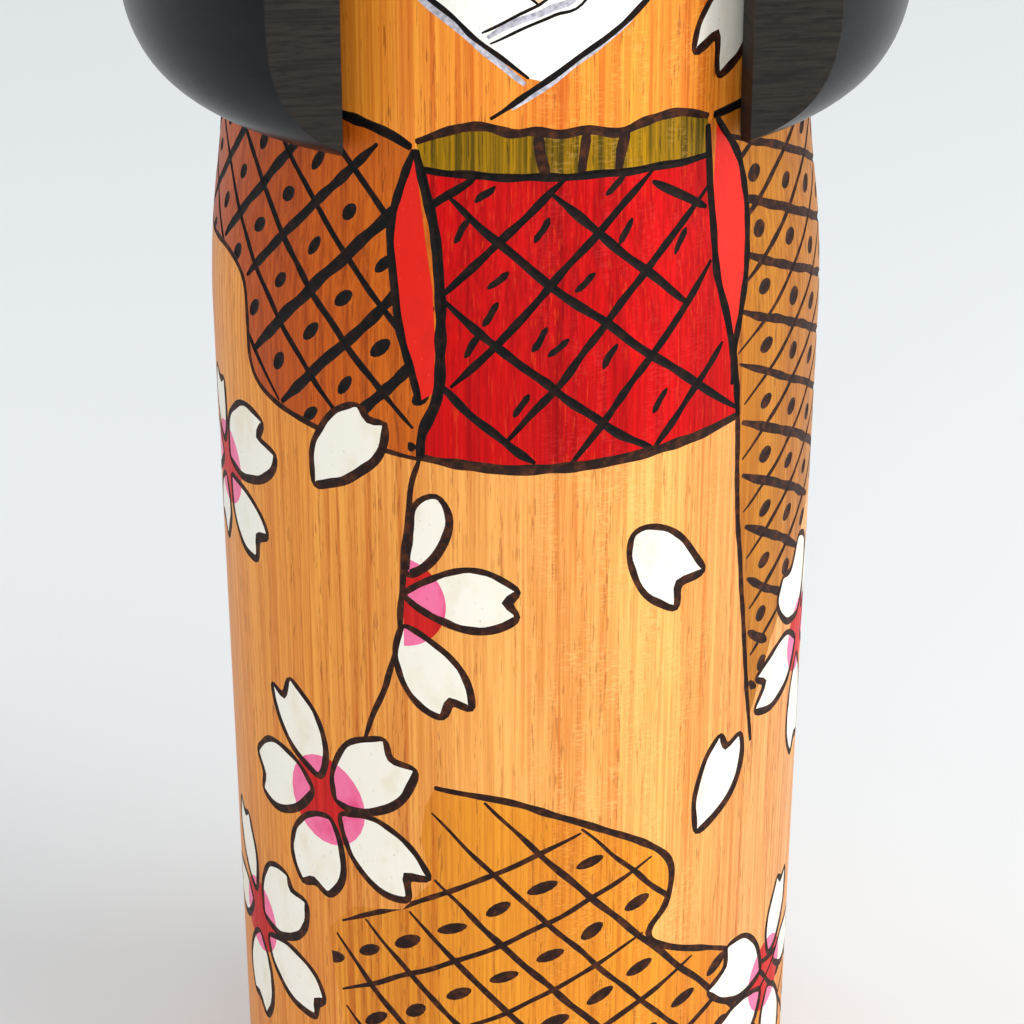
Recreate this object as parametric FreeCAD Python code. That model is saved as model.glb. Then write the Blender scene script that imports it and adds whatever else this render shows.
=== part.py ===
"""Kokeshi doll: turned wooden body, neck peg, pale turned head core and a black bobbed hair shell.

Frame: millimetres, +Z up, origin at the centre of the flat base, the doll faces -Y.
Every outline is drawn as (radius, height) and turned about the doll's upright axis, as on a lathe.
"""
import FreeCAD, Part
import math
import os

Vector = FreeCAD.Vector

# Driving dimensions of the body, in millimetres
base_radius = 33.8
base_chamfer = 1.0
shoulder_radius = 35.05         # the widest part of the body
shoulder_height = 116.0         # where the side starts to turn in
shoulder_curve = 110.0          # radius of both arcs of the shoulder's soft S shape
shoulder_rise = 15.0            # height of each of the two arcs
body_top = 170.0
breast_round = 4.0              # rounding of the body's upper edge

# Neck peg and its two sockets
peg_radius = 6.0
peg_bottom = 150.0
peg_top = 190.0
peg_chamfer = 0.8
socket_running_gap = 0.05       # radial gap that lets the head turn on the peg
body_socket_spare = 0.5
core_socket_spare = 1.0

# Head core, whose front is the face
head_seat_gap = 0.3             # between the body's top and the underside of the head
jaw_flat_radius = 25.0
jaw_height = 11.7

# Hair: a turned bob, bored out from below and cut flat across the front
hair_top = 222.0
hair_radius = 44.2
widest_hair_height = 162.1
dome_power = 2.4                # squareness of the dome's outline: 2 is an ellipse
under_centre_radius = 22.3      # centre of the rounded underside's outline
under_drop = 20.1               # that outline's half height
under_power = 3.35              # and its squareness
rim_chamfer = 0.6
bore_radius = 33.8
bore_roof = 202.0
glue_line = 0.2                 # radial gap between the head core and the bore of the hair
front_cut = 32.6                # how far the flat front cut stands in front of the axis
window_half_width = 21.4        # half the width of the upright window between the side locks
window_offset = -0.9            # the window is sawn by hand, a little off the doll's centre


def point(radius, height):
    """A point of a turned outline, drawn flat with the axis along Y."""
    return Vector(radius, height, 0)


def line(start, end):
    return Part.LineSegment(start, end).toShape()


def arc(centre, radius, start_deg, end_deg):
    """Circular arc of an outline, counterclockwise from start to end, in degrees from outward."""
    return Part.ArcOfCircle(
        Part.Circle(centre, Vector(0, 0, 1), radius),
        math.radians(start_deg),
        math.radians(end_deg),
    ).toShape()


def ellipse_arc(centre, half_width, half_height, start, end):
    """Arc of an upright ellipse on its outer side, between two points that lie on it."""
    ellipse = Part.Ellipse(centre + Vector(0, half_height, 0), centre + Vector(half_width, 0, 0), centre)
    limits = sorted([ellipse.parameter(start), ellipse.parameter(end)])
    return Part.ArcOfEllipse(ellipse, limits[0], limits[1]).toShape()


def superellipse_points(centre, half_width, half_height, power, last_radius):
    """Points of an outline from its widest place round to last_radius, up or down as half_height says."""
    last_share = (last_radius - centre.x) / half_width
    last_angle = math.acos(last_share ** (power / 2))
    steps = 14
    points = []
    for step in range(steps + 1):
        # closer steps near the widest place, where the outline turns fastest for its angle
        angle = last_angle * (step / steps) ** 1.5
        across = half_width * math.cos(angle) ** (2 / power)
        along = half_height * math.sin(angle) ** (2 / power)
        points.append(centre + Vector(across, along, 0))
    return points


def smooth_curve(points):
    curve = Part.BSplineCurve()
    curve.interpolate(points)
    return curve.toShape()


def turned(edges):
    """Solid of revolution of a closed outline, stood upright on the Z axis."""
    wire = Part.Wire(Part.__sortEdges__(edges))
    solid = Part.Face(wire).revolve(Vector(0, 0, 0), Vector(0, 1, 0), 360)
    solid.rotate(Vector(0, 0, 0), Vector(1, 0, 0), 90)
    return solid


def upright_cylinder(radius, bottom, top):
    return Part.makeCylinder(radius, top - bottom, Vector(0, 0, bottom))


def make_body():
    """Solid turned body: flat base, nearly straight side, soft shoulder, breast inside the bob."""
    shoulder_turn = math.degrees(math.asin(shoulder_rise / shoulder_curve))
    arc_drop = shoulder_curve * (1 - math.cos(math.radians(shoulder_turn)))
    breast_radius = shoulder_radius - 2 * arc_drop
    breast_bottom = shoulder_height + 2 * shoulder_rise
    edges = [
        line(point(0, 0), point(base_radius - base_chamfer, 0)),
        line(point(base_radius - base_chamfer, 0), point(base_radius, base_chamfer)),
        line(point(base_radius, base_chamfer), point(shoulder_radius, shoulder_height)),
        arc(point(shoulder_radius - shoulder_curve, shoulder_height), shoulder_curve, 0, shoulder_turn),
        arc(point(breast_radius + shoulder_curve, breast_bottom), shoulder_curve, 180, 180 + shoulder_turn),
        line(point(breast_radius, breast_bottom), point(breast_radius, body_top - breast_round)),
        arc(point(breast_radius - breast_round, body_top - breast_round), breast_round, 0, 90),
        line(point(breast_radius - breast_round, body_top), point(0, body_top)),
        line(point(0, body_top), point(0, 0)),
    ]
    socket = upright_cylinder(peg_radius, peg_bottom - body_socket_spare, body_top + 1)
    return turned(edges).cut(socket)


def make_neck_peg():
    """Dowel pressed into the body, on which the head turns."""
    end_radius = peg_radius - peg_chamfer
    corners = [
        point(0, peg_bottom),
        point(end_radius, peg_bottom),
        point(peg_radius, peg_bottom + peg_chamfer),
        point(peg_radius, peg_top - peg_chamfer),
        point(end_radius, peg_top),
        point(0, peg_top),
    ]
    return turned([line(a, b) for a, b in zip(corners, corners[1:] + corners[:1])])


def make_head_core():
    """Pale block glued into the bob: a plain cylinder above, rounded to a jaw below."""
    core_radius = bore_radius - glue_line
    core_bottom = body_top + head_seat_gap
    jaw_top = core_bottom + jaw_height
    jaw_start = point(jaw_flat_radius, core_bottom)
    jaw_end = point(core_radius, jaw_top)
    edges = [
        line(point(0, core_bottom), jaw_start),
        ellipse_arc(
            point(jaw_flat_radius, jaw_top), core_radius - jaw_flat_radius, jaw_height, jaw_start, jaw_end
        ),
        line(jaw_end, point(core_radius, bore_roof)),
        line(point(core_radius, bore_roof), point(0, bore_roof)),
        line(point(0, bore_roof), point(0, core_bottom)),
    ]
    socket_radius = peg_radius + socket_running_gap
    socket = upright_cylinder(socket_radius, core_bottom - 1, peg_top + core_socket_spare)
    return turned(edges).cut(socket)


def make_hair_bob():
    """Black turned bob: bored from below, sawn flat across the front, with a face window."""
    rim_radius = bore_radius + rim_chamfer
    under_centre = point(under_centre_radius, widest_hair_height)
    under_half_width = hair_radius - under_centre_radius
    underside = superellipse_points(under_centre, under_half_width, -under_drop, under_power, rim_radius)
    dome_centre = point(0, widest_hair_height)
    dome = superellipse_points(dome_centre, hair_radius, hair_top - widest_hair_height, dome_power, 0)
    rim = underside[-1]
    edges = [
        line(point(0, rim.y), rim),
        smooth_curve(underside),
        smooth_curve(dome),
        line(dome[-1], point(0, rim.y)),
    ]
    bob = turned(edges)

    bore = upright_cylinder(bore_radius, rim.y - 1, bore_roof)
    mouth = Part.makeCone(rim_radius + 1, bore_radius, rim_chamfer + 1, Vector(0, 0, rim.y - 1))
    reach = 2 * hair_radius
    front_block = Part.makeBox(2 * reach, reach, hair_top, Vector(-reach, -front_cut - reach, 0))
    window_corner = Vector(window_offset - window_half_width, -reach, 0)
    window = Part.makeBox(2 * window_half_width, reach, bore_roof, window_corner)
    return bob.cut(bore).cut(mouth).cut(front_block).cut(window)


def export(name, shape):
    """Write one named piece; each one has to be a single closed solid."""
    solid = shape.Solids[0]
    assert len(shape.Solids) == 1 and solid.isValid(), name
    solid.exportStep(os.path.join("parts", name + ".step"))
    box = solid.BoundBox
    print("%-10s %9.1f mm3  z %.2f to %.2f" % (name, solid.Volume, box.ZMin, box.ZMax))


os.makedirs("parts", exist_ok=True)
export("body", make_body())
export("neck_peg", make_neck_peg())
export("head_core", make_head_core())
export("hair_bob", make_hair_bob())
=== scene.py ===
"""Looks of the kokeshi doll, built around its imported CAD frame.

The drawing on the body is laid out flat, in millimetres: across is the distance round the body, 0 at
the front and growing to the viewer's right, and up is the height. It is cut into small triangles along
every line and colour border, wrapped round the turned body, and each colour becomes a closed inlay.
Burnt lines are real grooves.
"""

import math
import random
from collections import namedtuple

import bpy
import numpy as np
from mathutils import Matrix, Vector, geometry, kdtree


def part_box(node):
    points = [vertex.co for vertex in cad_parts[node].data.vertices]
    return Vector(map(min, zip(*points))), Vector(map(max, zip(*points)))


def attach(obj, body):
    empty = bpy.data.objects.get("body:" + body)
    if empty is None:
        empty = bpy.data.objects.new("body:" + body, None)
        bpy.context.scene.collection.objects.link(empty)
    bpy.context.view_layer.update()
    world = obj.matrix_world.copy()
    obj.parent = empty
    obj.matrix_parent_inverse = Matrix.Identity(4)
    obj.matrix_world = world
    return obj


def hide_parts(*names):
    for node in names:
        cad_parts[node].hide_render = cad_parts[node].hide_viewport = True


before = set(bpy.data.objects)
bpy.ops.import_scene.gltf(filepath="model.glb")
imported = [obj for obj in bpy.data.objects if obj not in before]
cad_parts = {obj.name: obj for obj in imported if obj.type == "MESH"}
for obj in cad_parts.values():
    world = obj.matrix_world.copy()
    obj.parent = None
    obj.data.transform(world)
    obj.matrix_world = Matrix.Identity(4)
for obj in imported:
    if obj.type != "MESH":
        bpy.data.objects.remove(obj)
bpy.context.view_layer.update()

MM = 0.001
rng = random.Random(7)

# Turned shape of the body, in millimetres, as in the CAD source
body_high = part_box("body")[1]
SHOULDER_RADIUS = body_high.x / MM
BODY_TOP = body_high.z / MM
BODY_TAPER = 1.25               # how much narrower the foot is than the shoulder
BASE_RADIUS = SHOULDER_RADIUS - BODY_TAPER
BASE_CHAMFER = 1.0
SHOULDER_HEIGHT = 116.0
SHOULDER_CURVE = 110.0
SHOULDER_RISE = 15.0
BREAST_ROUND = 4.0
PEG_RADIUS = 6.0
SOCKET_FLOOR = 149.5

# The flat drawing
DRAW_RADIUS = 35.0
TURN = 2 * math.pi * DRAW_RADIUS
HALF_TURN = TURN / 2
DRAW_BOTTOM = BASE_CHAMFER
DRAW_TOP = BODY_TOP - BREAST_ROUND + BREAST_ROUND * math.pi / 2
EDGE_MARGIN = 0.9               # plain wood left along the drawing's lower and upper edge
GRID = 2.0                      # size of the plain triangles
GRID_CLEARANCE = 0.45
INLAY_DEPTH = 0.8
POCKET_DEPTH = 0.85
BURNT_DEPTH = 0.30
DRAWN_DEPTH = 0.12


# ---------------------------------------------------------------- turned outlines

def body_profile(height):
    """Radius, height and outward normal (radial, upward) of the body at a height of the drawing."""
    height = np.asarray(height, float)
    arc_drop = SHOULDER_CURVE - math.sqrt(SHOULDER_CURVE ** 2 - SHOULDER_RISE ** 2)
    breast_radius = SHOULDER_RADIUS - 2 * arc_drop
    middle = SHOULDER_HEIGHT + SHOULDER_RISE
    breast = middle + SHOULDER_RISE
    rounding = BODY_TOP - BREAST_ROUND
    above_shoulder = np.clip(height - SHOULDER_HEIGHT, 0, SHOULDER_RISE)
    below_breast = np.clip(breast - height, 0, SHOULDER_RISE)
    slope = (SHOULDER_RADIUS - BASE_RADIUS) / SHOULDER_HEIGHT
    side = BASE_RADIUS + slope * height
    upper_arc = SHOULDER_RADIUS - SHOULDER_CURVE + np.sqrt(SHOULDER_CURVE ** 2 - above_shoulder ** 2)
    lower_arc = breast_radius + SHOULDER_CURVE - np.sqrt(SHOULDER_CURVE ** 2 - below_breast ** 2)
    radius = np.where(height < SHOULDER_HEIGHT, side, np.where(height < middle, upper_arc, lower_arc))
    on_arcs = np.where(height < middle, above_shoulder, below_breast) / SHOULDER_CURVE
    lean = np.where(height < SHOULDER_HEIGHT, -slope, on_arcs)
    turn = np.clip(height - rounding, 0, None) / BREAST_ROUND
    radius = np.where(turn > 0, breast_radius - BREAST_ROUND * (1 - np.cos(turn)), radius)
    up = np.where(turn > 0, rounding + BREAST_ROUND * np.sin(turn), height)
    tilt = np.where(turn > 0, turn, np.arctan(lean))
    return radius, up, np.cos(tilt), np.sin(tilt)


def wrap(points, depth, profile, draw_radius):
    """A flat drawing's points pressed into a turned surface by depth: positions in metres, and normals."""
    points = np.asarray(points, float)
    angle = points[:, 0] / draw_radius
    radius, up, normal_out, normal_up = profile(points[:, 1])
    radius = radius - depth * normal_out
    up = up - depth * normal_up
    sideways, forward = np.sin(angle), -np.cos(angle)
    positions = np.stack([radius * sideways, radius * forward, up], 1) * MM
    normals = np.stack([normal_out * sideways, normal_out * forward, normal_up], 1)
    return positions, normals


# ---------------------------------------------------------------- lines of the drawing

def smooth_line(points, step):
    """Points every step or so along a Catmull-Rom curve through the given ones."""
    pts = np.asarray(points, float)
    if len(pts) == 2:
        count = max(2, int(np.linalg.norm(pts[1] - pts[0]) / step) + 1)
        return np.linspace(pts[0], pts[1], count)
    padded = np.vstack([2 * pts[0] - pts[1], pts, 2 * pts[-1] - pts[-2]])
    out = []
    for a, b, c, d in zip(padded, padded[1:], padded[2:], padded[3:]):
        count = max(1, int(round(np.linalg.norm(c - b) / step)))
        for t in np.arange(count) / count:
            out.append(0.5 * (2 * b + (c - a) * t + (2 * a - 5 * b + 4 * c - d) * t ** 2
                              + (3 * b - a - 3 * c + d) * t ** 3))
    out.append(pts[-1])
    return np.array(out)


def line_normals(points, closed):
    """Unit normals to the left of a line, stretched a little at corners so that a band keeps its width."""
    if closed:
        ahead, behind = np.roll(points, -1, 0) - points, points - np.roll(points, 1, 0)
    else:
        ahead = np.vstack([points[1:] - points[:-1], points[-1:] - points[-2:-1]])
        behind = np.vstack([points[1:2] - points[:1], points[1:] - points[:-1]])
    ahead = ahead / np.maximum(np.linalg.norm(ahead, axis=1), 1e-9)[:, None]
    behind = behind / np.maximum(np.linalg.norm(behind, axis=1), 1e-9)[:, None]
    along = ahead + behind
    along = along / np.maximum(np.linalg.norm(along, axis=1), 1e-9)[:, None]
    stretch = 1 / np.clip(np.sum(along * ahead, 1), 0.62, 1)
    return np.stack([-along[:, 1], along[:, 0]], 1) * stretch[:, None]


def hand_wave(count, length, wave, closed=False):
    """A smooth seeded unevenness between about -1 and 1, as of a hand-held pen."""
    place = np.arange(count) / max(1, count if closed else count - 1)
    total = np.zeros(count)
    for share in (1.0, 0.7, 0.5):
        turns = max(1, round(length / wave * rng.uniform(0.7, 1.4)))
        total += share * np.sin(2 * math.pi * (turns * place + rng.random()))
    return total / 2.2


# The hand that drew the lines: how far apart its wanders and swells are, in millimetres, and how strong
LINE_WANDER = 9.0
LINE_SWELL, SWELL_SHARE = 4.5, 0.16
PETAL_WANDER, PETAL_SHAKE = 6.0, 0.08
PETAL_SWELL, PETAL_SWELL_SHARE = 3.5, 0.14
ROUND_END = 0.45                # how far a line's tip stands out past its last point, in half widths
PRESSED_SIDE = (0.6, -0.8)      # a petal's edge is heavier on this side, where the hand pressed


class Drawing:
    """Layers painted one over another, with the grooves and the extra points that shape them."""

    def __init__(self):
        self.layers = []
        self.grooves = []
        self.rings = []
        self.loose_points = []

    def copies(self, points):
        """The points, and the same a whole turn away where they cross the back seam."""
        points = np.asarray(points, float)
        found = [points]
        if points[:, 0].max() > HALF_TURN:
            found.append(points - [TURN, 0])
        if points[:, 0].min() < -HALF_TURN:
            found.append(points + [TURN, 0])
        return found

    def paint(self, label, ring, within=None, only=None):
        """Colours the inside of a ring, where it lies within another ring and over only some labels."""
        rings = self.copies(ring)
        self.rings += rings
        limits = None if within is None else [c for w in within for c in self.copies(w)]
        self.layers.append((label, rings, limits, only))

    def groove(self, centre, half_widths, depth):
        for copy in self.copies(centre):
            self.grooves.append((copy, half_widths, depth))
            self.loose_points.append(copy)

    def stroke(self, label, points, width, depth, within=None, taper=0.45, step=0.75, shake=0.10):
        """A pen or burning-tool line of slightly uneven width, with rounded ends."""
        centre = smooth_line(points, step)
        length = np.linalg.norm(np.diff(centre, axis=0), axis=1).sum()
        normals = line_normals(centre, False)
        centre = centre + normals * (shake * hand_wave(len(centre), length, LINE_WANDER))[:, None]
        place = np.linspace(0, 1, len(centre))
        ends = taper + (1 - taper) * np.minimum(1, np.sin(math.pi * place) * 2.2 + 0.15)
        half = width / 2 * ends * (1 + SWELL_SHARE * hand_wave(len(centre), length, LINE_SWELL))
        normals = line_normals(centre, False)
        left, right = centre + normals * half[:, None], centre - normals * half[:, None]
        start = centre[0] - (centre[1] - centre[0]) * ROUND_END * half[0] / step
        end = centre[-1] + (centre[-1] - centre[-2]) * ROUND_END * half[-1] / step
        self.paint(label, np.vstack([[start], right, [end], left[::-1]]), within)
        self.groove(centre, half, depth)

    def dot(self, label, centre, size, tilt, depth, within=None):
        """A small leaf-shaped burn mark."""
        long, short = size
        long, short = long * rng.uniform(0.85, 1.12), short * rng.uniform(0.85, 1.15)
        tilt = math.radians(tilt + rng.uniform(-9, 9))
        axis, across = np.array([math.cos(tilt), math.sin(tilt)]), np.array([-math.sin(tilt), math.cos(tilt)])
        middle = np.array(centre) + [rng.uniform(-0.25, 0.25), rng.uniform(-0.25, 0.25)]
        ring = []
        for step in range(12):
            turn = 2 * math.pi * step / 12
            ring.append(middle + axis * long / 2 * math.cos(turn)
                        + across * short / 2 * math.sin(turn) * (0.8 + 0.2 * abs(math.sin(turn))))
        self.paint(label, ring, within)
        spine = np.array([middle + axis * long * t for t in (-0.3, -0.1, 0.1, 0.3)])
        self.groove(spine, np.array([0.35, 0.48, 0.48, 0.35]) * short, depth)

    def petal(self, base, side_a, tip_a, notch, tip_b, side_b, dye=None, width=0.95, heavy=0.35):
        """A cherry petal: from its base up one side, over the notched end and back down the other side."""
        runs = [[base, *side_a, tip_a], [tip_a, notch], [notch, tip_b], [tip_b, *side_b, base]]
        outline = np.vstack([smooth_line(run, 0.7)[:-1] for run in runs])
        if signed_area(outline) < 0:
            outline = outline[::-1]
        outline = softened(outline, 1)
        length = np.linalg.norm(np.diff(outline, axis=0), axis=1).sum()
        normals = line_normals(outline, True)
        wander = PETAL_SHAKE * hand_wave(len(outline), length, PETAL_WANDER, True)
        outline = outline + normals * wander[:, None]
        outward = -normals / np.linalg.norm(normals, axis=1)[:, None]
        pressed = np.clip(outward @ np.array(PRESSED_SIDE), 0, 1)
        swell = PETAL_SWELL_SHARE * hand_wave(len(outline), length, PETAL_SWELL, True)
        half = width / 2 * (0.85 + heavy * pressed + swell)
        outer, inner = outline - normals * half[:, None], outline + normals * half[:, None]
        outer = softened(outer, 2)
        self.paint("drawn_lines", outer)
        self.paint("petals_white", inner)
        if dye is not None:
            self.paint("petals_pink", dye, within=[inner], only={"petals_white"})
        self.groove(np.vstack([outline, outline[:1]]), np.append(half, half[0]), DRAWN_DEPTH)


def softened(ring, passes):
    """A closed ring with its corners rounded off, as a round pen leaves them."""
    for _ in range(passes):
        ring = (np.roll(ring, 1, 0) + 2 * ring + np.roll(ring, -1, 0)) / 4
    return ring


def signed_area(ring):
    ring = np.asarray(ring, float)
    after = np.roll(ring, -1, 0)
    return 0.5 * np.sum(ring[:, 0] * after[:, 1] - after[:, 0] * ring[:, 1])


def rounded(points, step=1.2):
    """A closed ring whose long runs are divided, so that it bends round the body."""
    closed = [*points, points[0]]
    return np.vstack([smooth_line([a, b], step)[:-1] for a, b in zip(closed, closed[1:])])


def disc(centre, radius, start=0.0, end=360.0):
    """A circle, or the part of one between two directions in degrees."""
    steps = 26
    count = steps + (end - start < 360)
    turns = [math.radians(start + (end - start) * step / steps) for step in range(count)]
    return np.array([(centre[0] + radius * math.cos(t), centre[1] + radius * math.sin(t)) for t in turns])


# ---------------------------------------------------------------- the kimono, its sash and its flowers
# Every outline below is a list of (across, up) places in millimetres

OBI_LEFT = [(-16, 144), (-14.1, 137.5), (-13, 130.5), (-12.7, 123.5), (-13.1, 117), (-14.8, 112.5),
            (-15.2, 109.7)]
OBI_RIGHT = [(18.6, 145), (19, 137), (19.2, 130), (19.8, 126), (21.6, 118), (22.5, 110.8)]
OBI_BOTTOM = [(-15.2, 109.7), (-10.5, 109.3), (-6, 108.9), (2, 109), (9.5, 109.5), (15, 110), (22.5, 110.9)]
OBI_TOP = [(-15.3, 142), (-5, 141.7), (8, 141.6), (19, 141.6)]
OBI_BAND = [*OBI_LEFT[1:], *OBI_BOTTOM[1:], *OBI_RIGHT[::-1][1:-1], *OBI_TOP[::-1]]
OBIAGE_TOP = [(-15.8, 145), (-12, 146.6), (-8.5, 147.2), (-5, 146.5), (-2.5, 146.8), (0.4, 146.3),
              (3.5, 146.6), (7, 146), (10, 146.8), (14.3, 147.2), (18.6, 146)]
LENS_LEFT = [(-16.1, 144), (-18.6, 137), (-18.5, 131.5), (-17.3, 124.3), (-15.1, 116.3)]
LENS_LEFT_INNER = [(-13.5, 117.5), (-13.3, 123), (-13.7, 129), (-14.7, 134.5)]
LENS_RIGHT = [(20, 145.5), (23.7, 140), (24.6, 134), (23.6, 126.5), (21.8, 120), (21.4, 115)]
LENS_RIGHT_INNER = [(21, 118.5), (20, 126), (19.5, 131), (19.4, 138)]

SHOULDER_LINE_LEFT = [(-16.5, 144.3), (-19, 145.5), (-22, 146.2), (-27, 147), (-36, 148.5)]
SHOULDER_LINE_RIGHT = [(19.5, 146), (24, 146.3), (30, 147.2), (38, 148.5)]
SLEEVE_LEFT_EDGE = [(-69, 153), (-69, 142), (-66, 133), (-61, 127.5), (-54, 125.7), (-46, 126),
                    (-41.5, 124.2), (-40.2, 120.5), (-39.7, 115), (-38, 112.7), (-34, 111.4), (-28, 110.4),
                    (-15.2, 109.5)]
SLEEVE_RIGHT_INNER = [(21.6, 118), (22.5, 110.5), (23, 100), (24.6, 87), (26.4, 73.5), (27.5, 67.5)]
SLEEVE_RIGHT_EDGE = [(27, 71), (31, 79), (38, 88), (48, 96), (57, 107), (64, 121), (68, 137), (69, 153)]
FRONT_LINE = [(-15.3, 109.5), (-16.3, 105), (-17.4, 95), (-18, 87), (-19.5, 81.5), (-23, 72.3)]

HEM_BORDER = [(-14, 68.2), (-6.4, 67.3), (0.5, 64.9), (6.6, 62.1), (11.7, 59.1), (14.4, 56.3), (14.9, 53.3),
              (14, 50.2), (12.1, 48), (11.9, 46.5), (13.5, 44.9), (19.5, 42.3), (24.5, 40)]
HEM_RIGHT = [(24.5, 40), (32, 34), (46, 31.5), (62, 27), (78, 18), (89, 8), (93, 2)]
HEM_LEFT = [(-31, 1.9), (-30.5, 22), (-27, 33), (-28.5, 40), (-29, 45), (-25, 49.5), (-18.3, 51),
            (-14.6, 55.5), (-15.8, 61), (-15.2, 65.5)]

COLLAR = [(-30, 171.4), (-14.3, 160.7), (-3.2, 152.5), (-1.5, 152.1), (1.5, 154), (5.9, 156.7), (10.1, 160),
          (22, 171.4)]
NECK = [(-2, 160.2), (6.5, 171.4), (-11, 171.4)]

SASH_BOTTOM, SASH_TOP = 110, 141.6
BACK_SASH = [(66, SASH_BOTTOM), (154, SASH_BOTTOM), (152, SASH_TOP), (68, SASH_TOP)]
BACK_OBIAGE = [(68, SASH_TOP), (152, SASH_TOP), (151, 145), (69, 145)]
KNOT_CENTRE = HALF_TURN
KNOT = [(KNOT_CENTRE + across, up) for across, up in [
    (-15, 105), (-16, 118), (-15.5, 133), (-14.5, 145.5), (0, 147), (14.5, 145.5), (15.5, 133), (16, 118),
    (15, 105), (0, 104)]]
CORD_BOTTOM, CORD_TOP = 124, 127
CORD = [(66, CORD_BOTTOM), (154, CORD_BOTTOM), (154, CORD_TOP), (66, CORD_TOP)]

COLLAR_TOP = DRAW_TOP - EDGE_MARGIN
CHEST = [(-69, 143), (69, 143), (69, COLLAR_TOP), (-69, COLLAR_TOP)]
SLEEVE_LEFT = [*SLEEVE_LEFT_EDGE, *OBI_LEFT[::-1], *SHOULDER_LINE_LEFT, (-50, 152)]
SLEEVE_RIGHT = [*SLEEVE_RIGHT_INNER[:-1], *SLEEVE_RIGHT_EDGE, (50, 152), *SHOULDER_LINE_RIGHT[::-1],
                *OBI_RIGHT[:-1]]
HEM = [*HEM_BORDER, *HEM_RIGHT[1:], *HEM_LEFT]


def lay_fills(drawing):
    """The flat colour areas, from the back to the front."""
    for label, outline in [
        ("chest_stain", CHEST), ("kimono_stain", SLEEVE_LEFT), ("kimono_stain", SLEEVE_RIGHT),
        ("hem_stain", HEM), ("collar", COLLAR), ("neck_skin", NECK),
        ("obiage", [*OBI_TOP, *OBIAGE_TOP[::-1]]), ("obi", OBI_BAND), ("obi", BACK_SASH),
        ("obiage", BACK_OBIAGE), ("obi", KNOT), ("obiage", CORD),
    ]:
        drawing.paint(label, rounded(outline))


# Evenly stepped slanting lines: where the first one is, the step to the next one, the slope, the change of
# slope from line to line, and how many lines there are
Family = namedtuple("Family", "across up step_across step_up slope slope_change count")


def lattice(drawing, label, within, falling, rising, dot_size, dot_tilt, widths, depth, span):
    """Two families of slanting lines with a burn mark in each cell, inside a ring and a span across."""
    ring = np.array(within)
    families = []
    for family, width in zip((falling, rising), widths):
        lines = []
        for number in range(family.count):
            start = (family.across + number * family.step_across, family.up + number * family.step_up)
            lines.append((start, family.slope + number * family.slope_change))
        families.append(lines)
        for line in lines:
            lattice_line(drawing, label, within, line, width, depth, span)
    for above, below in zip(families[0], families[0][1:]):
        for before, after in zip(families[1], families[1][1:]):
            (u1, z1), k1 = middle_line(above, below)
            (u2, z2), k2 = middle_line(before, after)
            u = (z2 - z1 + k1 * u1 - k2 * u2) / (k1 - k2)
            z = z1 + k1 * (u - u1)
            if span[0] < u < span[1] and inside(ring, np.array([[u, z]]))[0]:
                drawing.dot(label, (u, z), dot_size, dot_tilt, depth, within=[within])


LINE_SAMPLES = 300
SHORTEST_LINE = 12              # in samples: shorter pieces are left out
BEND_SPACING = 7                # how far apart the hand wanders off a straight line, in millimetres


def lattice_line(drawing, label, within, line, width, depth, span):
    """The part of one slanting line that lies inside a ring, begun and ended a little inside it."""
    (u, z), slope = line
    across = np.linspace(span[0], span[1], LINE_SAMPLES)
    on_line = np.stack([across, z + slope * (across - u)], 1)
    shown = across[inside(np.array(within), on_line)]
    if len(shown) < SHORTEST_LINE:
        return
    first = shown[0] + rng.uniform(0.3, 1.2)
    last = shown[-1] - rng.uniform(0.3, 1.2)
    places = np.linspace(first, last, max(3, int((last - first) / BEND_SPACING)))
    points = [(a, z + slope * (a - u) + rng.uniform(-0.3, 0.3)) for a in places]
    drawing.stroke(label, points, width * rng.uniform(0.85, 1.15), depth, within=[within], taper=0.3,
                   step=0.85)


def middle_line(first, second):
    """The line halfway between two neighbours of a family."""
    (u1, z1), k1 = first
    (u2, z2), k2 = second
    return ((u1 + u2) / 2, (z1 + z2) / 2), (k1 + k2) / 2


def lengthened(points, extra):
    """The line carried a little further at both ends."""
    points = np.asarray(points, float)
    first, last = points[0] - points[1], points[-1] - points[-2]
    points[0] += extra * first / np.linalg.norm(first)
    points[-1] += extra * last / np.linalg.norm(last)
    return points


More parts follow.
